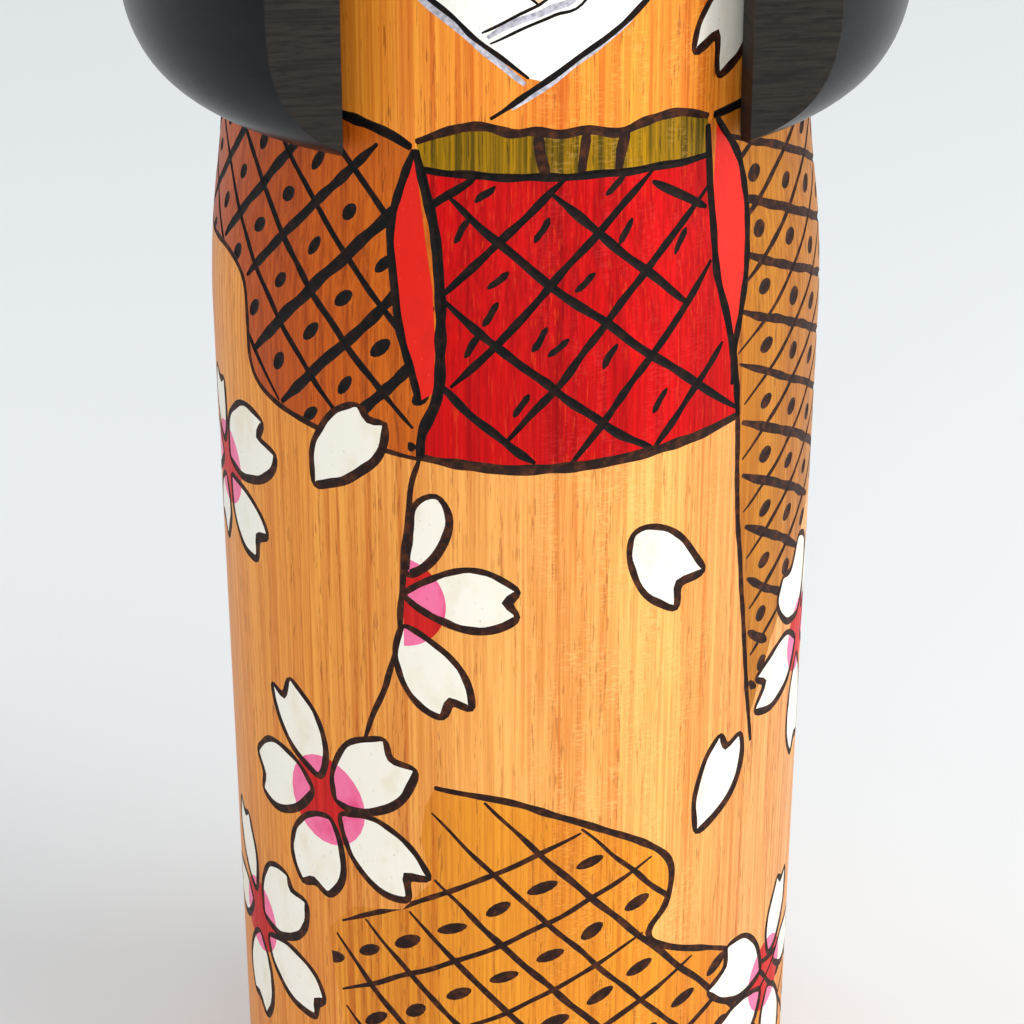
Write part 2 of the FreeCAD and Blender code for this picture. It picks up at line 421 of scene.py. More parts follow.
def draw_front_sash(drawing):
    """The sash in front: a hand-burnt lattice with a short tick in each cell."""
    rising = [
        [(-13.8, 138.3), (-10, 141)],
        [(-12, 129.2), (-6, 135), (0, 140.6)],
        [(-10.8, 119.2), (-6.7, 123.3), (-1, 129.7), (4.4, 135.1), (10.3, 140.6)],
        [(-5, 113), (0.2, 119), (5.1, 125.2), (10, 130.5), (17.6, 137.4)],
        [(2.1, 110.2), (7.1, 116.9), (10.5, 121), (17.7, 129.1)],
        [(11.5, 110.6), (15.5, 115.5), (19, 119.5)],
    ]
    falling = [
        [(-11.6, 138.8), (-6.4, 134.5), (-1, 130), (5, 125.5), (10.5, 121), (21.5, 112.4)],
        [(0.4, 139), (4.5, 135.3), (10, 130.5), (14, 127)],
        [(12.2, 139.5), (17.2, 136.6)],
        [(-11.7, 127.4), (-6.7, 123.2), (-2.2, 119.7), (5.7, 113.2), (10.3, 110.2)],
        [(-12.3, 118), (-8, 114), (-3.5, 110.4)],
    ]
    ticks = [(-8, 139.8), (-10.6, 135.7), (-1.7, 135.9), (-6.5, 130.5), (-7.3, 126.8), (-2, 124), (0, 123),
             (5.6, 121.6), (-9.3, 123.2), (6.6, 140.2), (7.8, 135.1), (14.5, 133), (3, 130), (-4, 116.5),
             (11.5, 115.5)]
    for lines, width in ((rising, 0.9), (falling, 1.0)):
        for points in lines:
            drawing.stroke("burnt_lines", lengthened(points, 1.2), width, BURNT_DEPTH, within=[OBI_BAND],
                           taper=0.35)
    for number, (u, z) in enumerate(ticks):
        lean = (0.8, 1.3) if number % 3 else (1.1, 0.9)
        drawing.stroke("burnt_lines", [(u - lean[0], z - lean[1]), (u + lean[0], z + lean[1])], 0.75,
                       DRAWN_DEPTH, within=[OBI_BAND], step=0.5, taper=0.3)


def draw_back_sash(drawing):
    """The sash behind: a lattice on each side of the knot, then the knot and the cord round it."""
    right_half = [(66, SASH_BOTTOM), (93, SASH_BOTTOM), (93, SASH_TOP), (68, SASH_TOP)]
    left_half = [(TURN - u, z) for u, z in right_half]
    for half, falling_start, rising_start, span, ends in [
        (left_half, 130, 122, (TURN - 96, TURN - 62), (TURN - 66, TURN - 93.5)),
        (right_half, 73, 66, (62, 96), (66, 93.5)),
    ]:
        lattice(drawing, "burnt_lines", half, Family(falling_start, 141, 11, 0, -0.85, 0, 4),
                Family(rising_start, 112, 11, 0, 0.95, 0, 4), dot_size=(1.8, 0.9), dot_tilt=30,
                widths=(1.1, 1.0), depth=BURNT_DEPTH, span=span)
        for z in (SASH_BOTTOM, SASH_TOP):
            drawing.stroke("burnt_lines", [(ends[0], z), (ends[1], z)], 1.0, BURNT_DEPTH)
    for start in (-20, -9, 2):
        for way in (1, -1):
            line = [(KNOT_CENTRE + way * start, 112), (KNOT_CENTRE + way * (start + 30), 143)]
            drawing.stroke("burnt_lines", line, 1.1, BURNT_DEPTH, within=[KNOT])
    drawing.paint("obiage", rounded(CORD), only={"obi", "burnt_lines"})
    for z in (CORD_BOTTOM, CORD_TOP):
        drawing.stroke("burnt_lines", [(KNOT_CENTRE - 43, z), (KNOT_CENTRE + 43, z)], 0.55, DRAWN_DEPTH)
    drawing.stroke("burnt_lines", [*KNOT, KNOT[0]], 1.2, BURNT_DEPTH, taper=1.0)


def draw_borders(drawing):
    """The burnt outlines of the kimono, from thin to heavy."""
    for points, width in [
        (SLEEVE_LEFT_EDGE[1:], 0.75), (SLEEVE_RIGHT_INNER, 0.8), (SLEEVE_RIGHT_EDGE[3:], 0.75),
        (FRONT_LINE, 0.75), (HEM_BORDER, 0.9), (HEM_RIGHT, 0.8), (OBI_BOTTOM, 1.25), (OBIAGE_TOP, 1.05),
    ]:
        drawing.stroke("drawn_lines", points, width, DRAWN_DEPTH * 1.5, taper=0.6)
    for points, width in [
        (SHOULDER_LINE_LEFT, 1.2), (SHOULDER_LINE_RIGHT, 1.1), (OBI_LEFT, 1.25), (OBI_RIGHT, 1.0),
        (OBI_TOP, 0.9), (LENS_LEFT, 1.0), (LENS_RIGHT, 0.95),
    ]:
        drawing.stroke("burnt_lines", points, width, BURNT_DEPTH, taper=0.7)
    for u, lean, width in ((-1.8, 0.4, 1.3), (3, -0.3, 1.1), (7.4, -0.5, 1.2)):
        fold = [(u + lean, 142), (u, 144), (u - lean, 146.3)]
        drawing.stroke("drawn_lines", fold, width, DRAWN_DEPTH, taper=0.7)


def draw_collar(drawing):
    """White under-collars crossing left over right, with silver edging beside the burnt lines."""
    top = COLLAR_TOP
    for points, width in [
        ([(-23.5, 166), (-14.6, 160.3), (-8.6, 155.8), (-3.6, 151.9)], 0.8),
        ([(8.4, 158.2), (3.2, 154.6), (-1.2, 151.6), (-5, 149.2)], 0.55),
        ([(-7.7, 156.9), (-4.6, 158.5), (-1, 159.9), (2.5, 161.6), (7.6, top)], 0.75),
    ]:
        drawing.stroke("silver_lines", points, width, 0.05, taper=0.5)
    for points, width in [
        ([(-30, top), (-14.3, 160.8), (-8.6, 156.4), (-3.2, 152.5)], 0.6),
        ([(22, top), (10.1, 160), (5.8, 156.7), (1.5, 154), (-2.5, 151.3), (-7.4, 148.1)], 0.7),
        ([(-8.3, 157.3), (-5, 159), (-2, 160.3), (-0.6, 161.4)], 0.35),
        ([(-7.4, 156.2), (-4.2, 157.7), (-0.4, 159.2), (3.4, 161), (9.2, top)], 0.35),
        ([(-11, top), (-5.6, 163.6), (-2, 160.3)], 0.4),
    ]:
        drawing.stroke("burnt_lines", points, width, BURNT_DEPTH * 0.6, taper=0.45)


# Cherry flowers: the disc of dye at the heart, then the petals. A petal is its base, the points up one side,
# a tip, the notch, the other tip, and the points back down the other side.
FLOWERS = [
    # low on the left of the front fold
    (disc((-28.8, 62.6), 5.8), [
        ((-29.6, 65.2), [(-34, 67.5), (-37, 71)], (-38.2, 74.8), (-35.6, 73.7), (-34.4, 77),
         [(-30.2, 74), (-28.4, 69)]),
        ((-30.6, 63.2), [(-33.5, 66), (-38.5, 66.8)], (-43, 63.4), (-40.6, 61), (-41.8, 58.6),
         [(-38, 57.7), (-33.3, 60)]),
        ((-27.4, 63), [(-27.6, 67), (-25, 71.6)], (-20, 73.6), (-19.6, 70.8), (-16, 70.3),
         [(-18.3, 65.5), (-23.5, 62.7)]),
        ((-26.9, 61.6), [(-22, 62.4), (-17.4, 60)], (-14.4, 55.7), (-17.8, 55.8), (-17.2, 52.3),
         [(-21.5, 52.8), (-25.5, 57)]),
        ((-28.2, 60.8), [(-32.6, 59), (-35.3, 54)], (-33.5, 49.3), (-31.2, 50.9), (-28.9, 49.2),
         [(-26.4, 53), (-26.9, 58)]),
    ]),
    # half a flower, tucked behind the front fold
    (disc((-18, 91.6), 5.6, -84, 84), [
        ((-17.1, 94.6), [(-16.6, 99)], (-16, 103.8), (-14.8, 104.9), (-13.2, 105.6),
         [(-11.9, 103), (-12.5, 99.6), (-14.3, 96.8)]),
        ((-17.7, 92.5), [(-14, 95), (-9, 96.6)], (-3.8, 94), (-5.9, 92.6), (-3.9, 90.8),
         [(-8, 88.9), (-13.5, 90)]),
        ((-17.7, 88.9), [(-14, 87), (-10.5, 83.5)], (-9.3, 78.6), (-12.1, 80), (-12.8, 77.2),
         [(-16.3, 79.2), (-18.5, 84)]),
    ]),
    # high on the left side
    (disc((-48.6, 98.6), 5.0), [
        ((-47.5, 99.5), [(-47, 105), (-42, 108.7)], (-37.2, 108), (-39, 105.6), (-35, 105),
         [(-36.5, 101.8), (-42, 99.2)]),
        ((-47.4, 97.8), [(-42.5, 97.5), (-39, 96)], (-37.2, 93.5), (-40, 92.7), (-40, 89.4),
         [(-44, 90), (-46.8, 93.2)]),
        ((-49.4, 100.6), [(-48.2, 104)], (-48.4, 109.5), (-50.6, 108), (-53, 109.5),
         [(-54.3, 106), (-52, 102)]),
        ((-50.2, 98.6), [(-54, 101.5)], (-60, 101.5), (-58.5, 99), (-60, 96), [(-55, 95.3)]),
        ((-49.6, 96.8), [(-53, 94.5)], (-55, 89.5), (-52.6, 90), (-50.4, 87.8), [(-48.2, 92)]),
    ]),
    # near the foot on the left
    (disc((-44.6, 39.2), 4.9), [
        ((-43.2, 40), [(-43, 45), (-40.3, 48.8)], (-36.2, 49.2), (-35.9, 47), (-32.6, 47.2),
         [(-33.5, 42.6), (-38, 39.6)]),
        ((-42.3, 37.8), [(-37.5, 39), (-32, 37.5)], (-29.9, 33.8), (-31.9, 33.4), (-31.5, 30.8),
         [(-36.5, 31.4), (-40.7, 34.3)]),
        ((-44.8, 37), [(-48, 34), (-49.3, 29.5)], (-48, 26), (-46.2, 27), (-43.8, 24.6),
         [(-41.6, 28), (-42, 33.5)]),
        ((-45.2, 42), [(-44.6, 47)], (-47.2, 52.5), (-49, 51), (-51.2, 53), [(-51.8, 48.5), (-48.8, 44)]),
        ((-46.4, 39.8), [(-50, 42.3)], (-56, 42), (-54.4, 39.6), (-56, 37), [(-50.5, 36)]),
    ]),
    # on the right side
    (disc((41.4, 75.3), 4.8), [
        ((40.4, 78.3), [(35.5, 79.6), (32.6, 83)], (33.8, 86.4), (36.6, 85.7), (39, 89.6),
         [(43.3, 87), (43.2, 81.5)]),
        ((40.3, 75.3), [(35, 78)], (27.6, 75.4), (30.4, 74), (27.7, 71), [(32.5, 69.8), (37.7, 71.6)]),
        ((41.2, 73), [(38.4, 68.5), (38, 63)], (40.6, 58.8), (42.4, 61), (45.5, 59.5),
         [(45.8, 65), (43.6, 70)]),
        ((43, 74.6), [(46.5, 72)], (52.5, 71), (51.2, 73.8), (53.5, 76.5), [(48, 78.3)]),
        ((42.8, 77.6), [(47.5, 80.2)], (51, 85.5), (48.3, 85.3), (46.5, 88.5), [(43.8, 83.5)]),
    ]),
    # near the foot on the right
    (disc((34.6, 31.2), 5.0), [
        ((32.9, 32.4), [(31.5, 36.8), (28, 40.2)], (24.2, 40.4), (24.5, 37.4), (20.8, 35.4),
         [(24.5, 32.4), (29, 31.5)]),
        ((34.8, 33.6), [(34, 38.5)], (37.4, 44), (38.8, 42), (41.5, 43.2), [(41, 38), (37.5, 34.2)]),
        ((36.6, 31.8), [(41, 34.3)], (47.2, 34.3), (45.6, 32), (47.4, 29.4), [(41.5, 28.7)]),
        ((33.2, 29.8), [(28.5, 31), (23.8, 29.6)], (20.8, 25.8), (23.6, 25.2), (23, 22),
         [(28, 22.8), (32, 26.5)]),
        ((35.2, 29), [(33.4, 25), (34.4, 20)], (36.8, 16.8), (38.3, 19), (41, 18.3),
         [(41, 23), (38.2, 27.4)]),
    ]),
]
LOOSE_PETALS = [
    ((-29, 103), [(-28.9, 108), (-26, 112.8)], (-22.4, 114.9), (-21.3, 112.9), (-19, 113.3),
     [(-19.8, 109.3), (-23.6, 105.6)]),
    ((8.5, 99.9), [(10.2, 100.5), (14, 99)], (18.5, 93), (14.5, 92.6), (14.5, 89.1),
     [(10.5, 91.8), (8.3, 96.5)]),
    ((18.1, 58.4), [(17.9, 63.5), (19.3, 68)], (21.8, 71), (22.7, 68.3), (25.4, 69.8),
     [(25.8, 66), (23.5, 61.5)]),
    ((26.5, 163), [(20.8, 160.5), (17.2, 157)], (16.1, 153), (19.7, 155), (19.8, 149.8),
     [(23.2, 151.8), (26.6, 156)]),
]
# Flowers and petals of the sides and back: centre, size and lean in degrees
ROUND_FLOWERS = [((103, 72), 13.5, 12), ((-82, 88), 12.0, -20)]
FAR_PETAL_LENGTH = 11.0
FAR_PETALS = [(124, 92, 30), (128, 50, -40), (80, 96, 70), (-70, 60, 20), (-94, 40, -65), (72, 52, 200)]
UNDYED = {"wood", "chest_stain", "kimono_stain", "hem_stain"}


def draw_flowers(drawing):
    """Cherry flowers of five petals round a disc of dye, and loose petals between them."""
    for dye, _ in FLOWERS:
        drawing.paint("flower_red", dye, only=UNDYED)
    for dye, petals in FLOWERS:
        for petal in petals:
            drawing.petal(*petal, dye)
    for petal in LOOSE_PETALS:
        drawing.petal(*petal)
    for centre, size, lean in ROUND_FLOWERS:
        draw_round_flower(drawing, centre, size, lean)
    for u, z, lean in FAR_PETALS:
        drawing.petal(*turned_petal((u, z), 0, FAR_PETAL_LENGTH, lean))


def turned_petal(centre, start, length, lean):
    """The points of one regular petal that begins at a distance from a centre and leans by an angle."""
    turn = math.radians(lean)
    half_width, tip_width = 0.3 * length, 0.17 * length
    low, high, end = start + 0.35 * length, start + 0.7 * length, start + length

    def place(along, across):
        return (centre[0] + along * math.cos(turn) - across * math.sin(turn),
                centre[1] + along * math.sin(turn) + across * math.cos(turn))

    return (place(start, 0), [place(low, half_width * 0.85), place(high, half_width)], place(end, tip_width),
            place(end - 0.17 * length, 0), place(end, -tip_width),
            [place(high, -half_width), place(low, -half_width * 0.85)])


def draw_round_flower(drawing, centre, size, lean):
    """A regular five-petalled flower, for the sides and back."""
    dye = disc(centre, 0.42 * size)
    drawing.paint("flower_red", dye, only=UNDYED)
    for number in range(5):
        drawing.petal(*turned_petal(centre, 0.13 * size, 0.87 * size, lean + 72 * number), dye)


def draw_kimono():
    """The whole drawing, each layer over the ones before it."""
    drawing = Drawing()
    lay_fills(drawing)
    lattice(drawing, "burnt_lines", SLEEVE_LEFT, Family(-61.2, 130, 9.6, 0, -1.03, 0, 6),
            Family(-30, 96.8, 0, 9.5, 1.0, 0, 8), dot_size=(2.9, 1.4), dot_tilt=48, widths=(0.9, 1.2),
            depth=BURNT_DEPTH * 0.8, span=(-68, -14))
    lattice(drawing, "drawn_lines", SLEEVE_RIGHT, Family(25, 148.4, 0, -6.55, -0.39, -0.022, 12),
            Family(25, 71.2, 0, 6.95, 0.62, 0, 14), dot_size=(2.4, 2.0), dot_tilt=15, widths=(1.0, 0.7),
            depth=DRAWN_DEPTH * 1.4, span=(21, 68))
    lattice(drawing, "drawn_lines", HEM, Family(-40.9, 50, 8.1, 0, -1.05, 0, 22),
            Family(0, 61, 0, -9.7, 0.53, 0, 12), dot_size=(3.6, 1.6), dot_tilt=28, widths=(0.76, 0.72),
            depth=DRAWN_DEPTH, span=(-33, 92))
    drawing.paint("sleeve_lining", rounded([*LENS_LEFT, *LENS_LEFT_INNER]))
    drawing.paint("sleeve_lining", rounded([*LENS_RIGHT[:-1], *LENS_RIGHT_INNER]))
    draw_front_sash(drawing)
    draw_back_sash(drawing)
    draw_collar(drawing)
    draw_borders(drawing)
    draw_flowers(drawing)
    return drawing


# ---------------------------------------------------------------- cutting the drawing into triangles

def inside(ring, points):
    """True where the ring winds round the point."""
    ring = np.asarray(ring, float)
    winding = np.zeros(len(points), int)
    x, y = points[:, 0], points[:, 1]
    for (ax, ay), (bx, by) in zip(ring, np.roll(ring, -1, 0)):
        side = (bx - ax) * (y - ay) - (x - ax) * (by - ay)
        winding += (ay <= y) & (by > y) & (side > 0)
        winding -= (ay > y) & (by <= y) & (side < 0)
    return winding != 0


def inside_any(rings, points):
    """Like inside, for several rings, testing only the points that lie in each ring's box."""
    found = np.zeros(len(points), bool)
    for ring in rings:
        ring = np.asarray(ring, float)
        low, high = ring.min(0), ring.max(0)
        near = np.flatnonzero(((points >= low) & (points <= high)).all(1))
        found[near] |= inside(ring, points[near])
    return found


def grid_points(low, high, spacing):
    across = np.linspace(low[0], high[0], max(2, round((high[0] - low[0]) / spacing) + 1))
    up = np.linspace(low[1], high[1], max(2, round((high[1] - low[1]) / spacing) + 1))
    return np.stack(np.meshgrid(across, up), -1).reshape(-1, 2)


def cut_into_triangles(rings, loose, low, high, spacing):
    """Triangles between two corners of the drawing that keep every ring's line as an edge."""
    taken = np.vstack([*rings, *loose])
    tree = kdtree.KDTree(len(taken))
    for number, point in enumerate(taken):
        tree.insert((point[0], point[1], 0), number)
    tree.balance()
    plain = [p for p in grid_points(low, high, spacing)
             if tree.find((p[0], p[1], 0))[2] > GRID_CLEARANCE or on_frame(p, low, high)]
    corners = np.array([low, (high[0], low[1]), high, (low[0], high[1])], float)
    points, edges = [], []
    for ring in [corners, *rings]:
        first = len(points)
        points += [tuple(p) for p in ring]
        edges += [(first + i, first + (i + 1) % len(ring)) for i in range(len(ring))]
    for group in loose:
        points += [tuple(p) for p in group]
    points += [tuple(p) for p in plain]
    cut = geometry.delaunay_2d_cdt([Vector(p) for p in points], edges, [], 0, 1e-4, False)
    places = np.array([tuple(v) for v in cut[0]])
    triangles = np.array([f for f in cut[2] if len(f) == 3])
    middles = places[triangles].mean(1)
    keep = ((middles > low) & (middles < high)).all(1)
    return places, triangles[keep]


def on_frame(point, low, high):
    """Whether a point lies on the edge of the box between two corners."""
    return min(abs(point[axis] - end[axis]) for axis in (0, 1) for end in (low, high)) < 1e-6


def close_seam(places, triangles, low, high):
    """Joins the drawing's right edge to its left edge, so that it goes once round."""
    left = np.flatnonzero(abs(places[:, 0] - low[0]) < 1e-4)
    right = np.flatnonzero(abs(places[:, 0] - high[0]) < 1e-4)
    joined = np.arange(len(places))
    for number in right:
        partner = left[np.argmin(abs(places[left, 1] - places[number, 1]))]
        joined[number] = partner
    return joined[triangles]


def label_triangles(drawing, places, triangles):
    """The name of the piece that each triangle belongs to, as the last layer over it says."""
    middles = places[triangles].mean(1)
    labels = np.full(len(triangles), "wood", dtype="U16")
    for label, rings, limits, only in drawing.layers:
        mask = inside_any(rings, middles)
        if limits is not None:
            mask &= inside_any(limits, middles)
        if only is not None:
            mask &= np.isin(labels, list(only))
        labels[mask] = label
    edge = (middles[:, 1] < DRAW_BOTTOM + EDGE_MARGIN) | (middles[:, 1] > DRAW_TOP - EDGE_MARGIN)
    labels[edge] = "wood"
    return labels


GROOVED = {"burnt_lines", "drawn_lines", "silver_lines"}


def groove_depths(drawing, places, triangles, labels):
    """How deep each point lies: nothing beside a flat colour, the tool's depth on a line's middle."""
    grooved = np.isin(labels, list(GROOVED))
    flat_points = np.unique(triangles[~grooved])
    candidate = np.zeros(len(places), bool)
    candidate[np.unique(triangles[grooved])] = True
    candidate[flat_points] = False
    depths = np.zeros(len(places))
    for centre, half, depth in drawing.grooves:
        low, high = centre.min(0) - half.max(), centre.max(0) + half.max()
        near = np.flatnonzero(candidate & ((places >= low) & (places <= high)).all(1))
        if not len(near):
            continue
        best = np.full(len(near), 9.0)
        for a, b, wa, wb in zip(centre, centre[1:], half, half[1:]):
            run = b - a
            t = np.clip((places[near] - a) @ run / max(run @ run, 1e-9), 0, 1)
            distance = np.linalg.norm(places[near] - a - t[:, None] * run, axis=1)
            best = np.minimum(best, distance / (wa + (wb - wa) * t))
        depths[near] = np.maximum(depths[near], depth * np.clip(1 - best ** 2, 0, 1))
    return depths


# ---------------------------------------------------------------- meshes

def make_object(name, vertices, faces, loop_normals=None):
    mesh = bpy.data.meshes.new(name)
    mesh.from_pydata([tuple(v) for v in vertices], [], [tuple(int(i) for i in f) for f in faces])
    mesh.update()
    if loop_normals is not None:
        mesh.polygons.foreach_set("use_smooth", [True] * len(mesh.polygons))
        mesh.normals_split_custom_set([tuple(n) for n in loop_normals])
    piece = bpy.data.objects.new(name, mesh)
    bpy.context.scene.collection.objects.link(piece)
    return piece


def only_used(vertices, faces):
    """The same faces with the vertices that no face needs left out."""
    used = sorted({int(i) for face in faces for i in face})
    renumber = {old: new for new, old in enumerate(used)}
    return [vertices[i] for i in used], [tuple(renumber[int(i)] for i in face) for face in faces]


def border_edges(faces):
    """Directed edges that only one face has."""
    edges = np.vstack([faces[:, [0, 1]], faces[:, [1, 2]], faces[:, [2, 0]]])
    have = {(int(a), int(b)) for a, b in edges}
    return [(a, b) for a, b in sorted(have) if (b, a) not in have]


def flat_normal(vertices, face):
    a, b, c = (np.asarray(vertices[i]) for i in face[:3])
    normal = np.cross(b - a, c - a)
    return normal / max(np.linalg.norm(normal), 1e-12)


def closed_skin(faces, outer, outer_normals, inner, inner_normals):
    """A closed thin shape: its shown side, a back side below it, and walls between their borders."""
    used, flat = np.unique(faces, return_inverse=True)
    local = flat.reshape(faces.shape)
    count = len(used)
    vertices = np.vstack([outer[used], inner[used]])
    all_faces = [tuple(f) for f in local] + [tuple(f[::-1] + count) for f in local]
    normals = [n for face_normals in outer_normals for n in face_normals]
    normals += [-inner_normals[used[i]] for f in local for i in f[::-1]]
    for a, b in border_edges(local):
        wall = (b, a, a + count, b + count)
        all_faces.append(wall)
        normals += [flat_normal(vertices, wall)] * 4
    return vertices, all_faces, normals


def corner_normals(faces, outer, smooth_normals, grooved):
    """Normals per face corner: the turned surface's own, or the average of the groove's faces there."""
    corners = smooth_normals[faces]
    if grooved:
        a, b, c = outer[faces[:, 0]], outer[faces[:, 1]], outer[faces[:, 2]]
        face_normals = np.cross(b - a, c - a)
        total = np.zeros_like(outer)
        for column in range(3):
            np.add.at(total, faces[:, column], face_normals)
        total /= np.maximum(np.linalg.norm(total, axis=1), 1e-15)[:, None]
        corners = total[faces]
    return corners


FOOT_RING = 8.0                 # width of the flat ring round the middle of the foot


def add_cap(vertices, faces, loop_normals, rim, angles, rings):
    """Closes an end of the body from its rim inwards: rings of a radius and height, then a fan."""
    def face(*corners):
        faces.append(corners)
        loop_normals.extend([flat_normal(vertices, corners)] * len(corners))

    last = rim
    for radius, up in rings:
        new = []
        for angle in angles:
            new.append(len(vertices))
            vertices.append((radius * math.sin(angle) * MM, -radius * math.cos(angle) * MM, up * MM))
        for k in range(len(rim)):
            after = (k + 1) % len(rim)
            face(last[k], new[k], new[after], last[after])
        last = new
    centre = len(vertices)
    vertices.append((0, 0, rings[-1][1] * MM))
    for k in range(len(rim)):
        face(last[k], centre, last[(k + 1) % len(rim)])


def wooden_body(triangles, labels, places, outer, floor, normals):
    """The solid wood itself, with a pocket under every inlay, its foot, its top and the peg's socket."""
    count = len(outer)
    wood = labels == "wood"
    faces = [tuple(f) for f in triangles[wood]] + [tuple(f + count) for f in triangles[~wood]]
    vertices = [tuple(v) for v in outer] + [tuple(v) for v in floor]
    loop_normals = [normals[i] for f in triangles[wood] for i in f]
    loop_normals += [normals[i] for f in triangles[~wood] for i in f]
    whole = set(border_edges(triangles))
    for a, b in border_edges(triangles[wood]):
        if (a, b) not in whole:
            wall = (b, a, a + count, b + count)
            faces.append(wall)
            loop_normals += [flat_normal(vertices, wall)] * 4
    for height, rings, upward in [
        (DRAW_BOTTOM, [(BASE_RADIUS - BASE_CHAMFER, 0), (BASE_RADIUS - FOOT_RING, 0)], False),
        (DRAW_TOP, [(PEG_RADIUS, BODY_TOP), (PEG_RADIUS, SOCKET_FLOOR)], True),
    ]:
        rim = [i for i in np.unique(triangles) if abs(places[i, 1] - height) < 1e-4]
        rim.sort(key=lambda i: places[i, 0], reverse=upward)
        angles = [places[i, 0] / DRAW_RADIUS for i in rim]
        add_cap(vertices, faces, loop_normals, rim, angles, rings)
    return make_object("body_wood", *only_used(vertices, faces), loop_normals)


def build_body():
    """Every piece of the painted body, by name."""
    drawing = draw_kimono()
    low, high = (-HALF_TURN, DRAW_BOTTOM), (HALF_TURN, DRAW_TOP)
    places, triangles = cut_into_triangles(drawing.rings, drawing.loose_points, low, high, GRID)
    labels = label_triangles(drawing, places, triangles)
    triangles = close_seam(places, triangles, low, high)
    depths = groove_depths(drawing, places, triangles, labels)
    outer, normals = wrap(places, depths, body_profile, DRAW_RADIUS)
    inner, _ = wrap(places, INLAY_DEPTH, body_profile, DRAW_RADIUS)
    floor, _ = wrap(places, POCKET_DEPTH, body_profile, DRAW_RADIUS)
    pieces = {"body_wood": wooden_body(triangles, labels, places, outer, floor, normals)}
    for label in sorted(set(labels) - {"wood"}):
        faces = triangles[labels == label]
        corners = corner_normals(faces, outer, normals, label in GROOVED)
        pieces[label] = make_object(label, *closed_skin(faces, outer, corners, inner, normals))
    return pieces


# ---------------------------------------------------------------- the face

FACE_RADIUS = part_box("head_core")[1].x / MM
JAW_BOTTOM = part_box("head_core")[0].z / MM
JAW_HEIGHT = 11.7
JAW_FLAT_RADIUS = 25.0
PAINT_LIFT = 0.10
PAINT_SINK = 0.15
FACE_GRID = 1.0
# Places of the features, across and up. The right eye and brow are mirrored to the left
EYE = (8.2, 188.0)
BROW = (8.2, 194.5)
NOSE = (0, 183.2)
MOUTH = (0, 178.2)


def face_profile(height):
    """Radius, height and outward normal of the head core at a height."""
    height = np.asarray(height, float)
    below = np.clip((JAW_BOTTOM + JAW_HEIGHT - height) / JAW_HEIGHT, 0, 0.999)
    bulge = FACE_RADIUS - JAW_FLAT_RADIUS
    radius = JAW_FLAT_RADIUS + bulge * np.sqrt(1 - below ** 2)
    tilt = -np.arctan2(below * bulge, np.sqrt(1 - below ** 2) * JAW_HEIGHT)
    return radius, height, np.cos(tilt), np.sin(tilt)


def brush(points, widths, step=0.5):
    """A closed ring round a brush stroke whose width is given at its start, middle and end."""
    centre = smooth_line(points, step)
    place = np.linspace(0, 1, len(centre))
    half = np.interp(place, [0, 0.5, 1], widths) / 2
    normals = line_normals(centre, False)
    return np.vstack([centre - normals * half[:, None], (centre + normals * half[:, None])[::-1]])


def face_paint(name, rings):
    """Brush marks on the face, as thin closed skins that follow its round."""
    vertices, faces, loop_normals = [], [], []
    for ring in rings:
        ring = np.asarray(ring, float)
        if signed_area(ring) < 0:
            ring = ring[::-1]
        low, high = ring.min(0) - 0.5, ring.max(0) + 0.5
        places, triangles = cut_into_triangles([ring], [], low, high, FACE_GRID)
        triangles = triangles[inside(ring, places[triangles].mean(1))]
        outer, normals = wrap(places, -PAINT_LIFT, face_profile, FACE_RADIUS)
        inner, _ = wrap(places, PAINT_SINK, face_profile, FACE_RADIUS)
        skin, skin_faces, skin_normals = closed_skin(triangles, outer, normals[triangles], inner, normals)
        first = len(vertices)
        vertices += list(skin)
        faces += [tuple(i + first for i in face) for face in skin_faces]
        loop_normals += skin_normals
    return make_object(name, vertices, faces, loop_normals)


def mirrored(ring):
    """The same ring on the other side of the face."""
    return [(-u, z) for u, z in ring]


def placed(points, centre):
    """Points given from a feature's centre, moved to where it is on the face."""
    return [(centre[0] + across, centre[1] + up) for across, up in points]


def build_face():
    """A calm generic doll's face in a few brush strokes."""
    lid = brush(placed([(-3.7, -0.4), (-1.4, 1.1), (1.5, 1.0), (4.2, -0.9)], EYE), (0.35, 0.95, 0.3))
    iris = disc((EYE[0] + 0.1, EYE[1] - 0.35), 1.35)
    lower_lid = brush(placed([(-2.0, -1.9), (0.4, -2.3), (2.6, -1.7)], EYE), (0.15, 0.3, 0.15))
    brow = brush(placed([(-3.8, -0.7), (0, 0.9), (4.2, -0.6)], BROW), (0.4, 0.75, 0.25))
    nose = brush(placed([(0.9, 1.4), (1.2, 0.1), (0.2, -0.4)], NOSE), (0.25, 0.4, 0.25))
    upper_lip = placed([(-2.3, 0), (-0.9, 0.8), (0, 0.5), (0.9, 0.8), (2.3, 0), (0, -0.15)], MOUTH)
    lower_lip = placed([(-1.6, -0.3), (0, -0.45), (1.6, -0.3), (0.8, -1.2), (0, -1.4), (-0.8, -1.2)], MOUTH)
    ink = [lid, iris, lower_lid, brow]
    return {
        "face_ink": face_paint("face_ink", [*ink, *[mirrored(r) for r in ink], nose]),
        "face_lips": face_paint("face_lips", [rounded(upper_lip, 0.5), rounded(lower_lip, 0.5)]),
    }


# ---------------------------------------------------------------- materials

def srgb(red, green, blue):
    """A picture colour from 0 to 255 as the linear colour that a shader takes."""
    def linear(value):
        value /= 255
        return value / 12.92 if value <= 0.04045 else ((value + 0.055) / 1.055) ** 2.4
    return (linear(red), linear(green), linear(blue), 1.0)


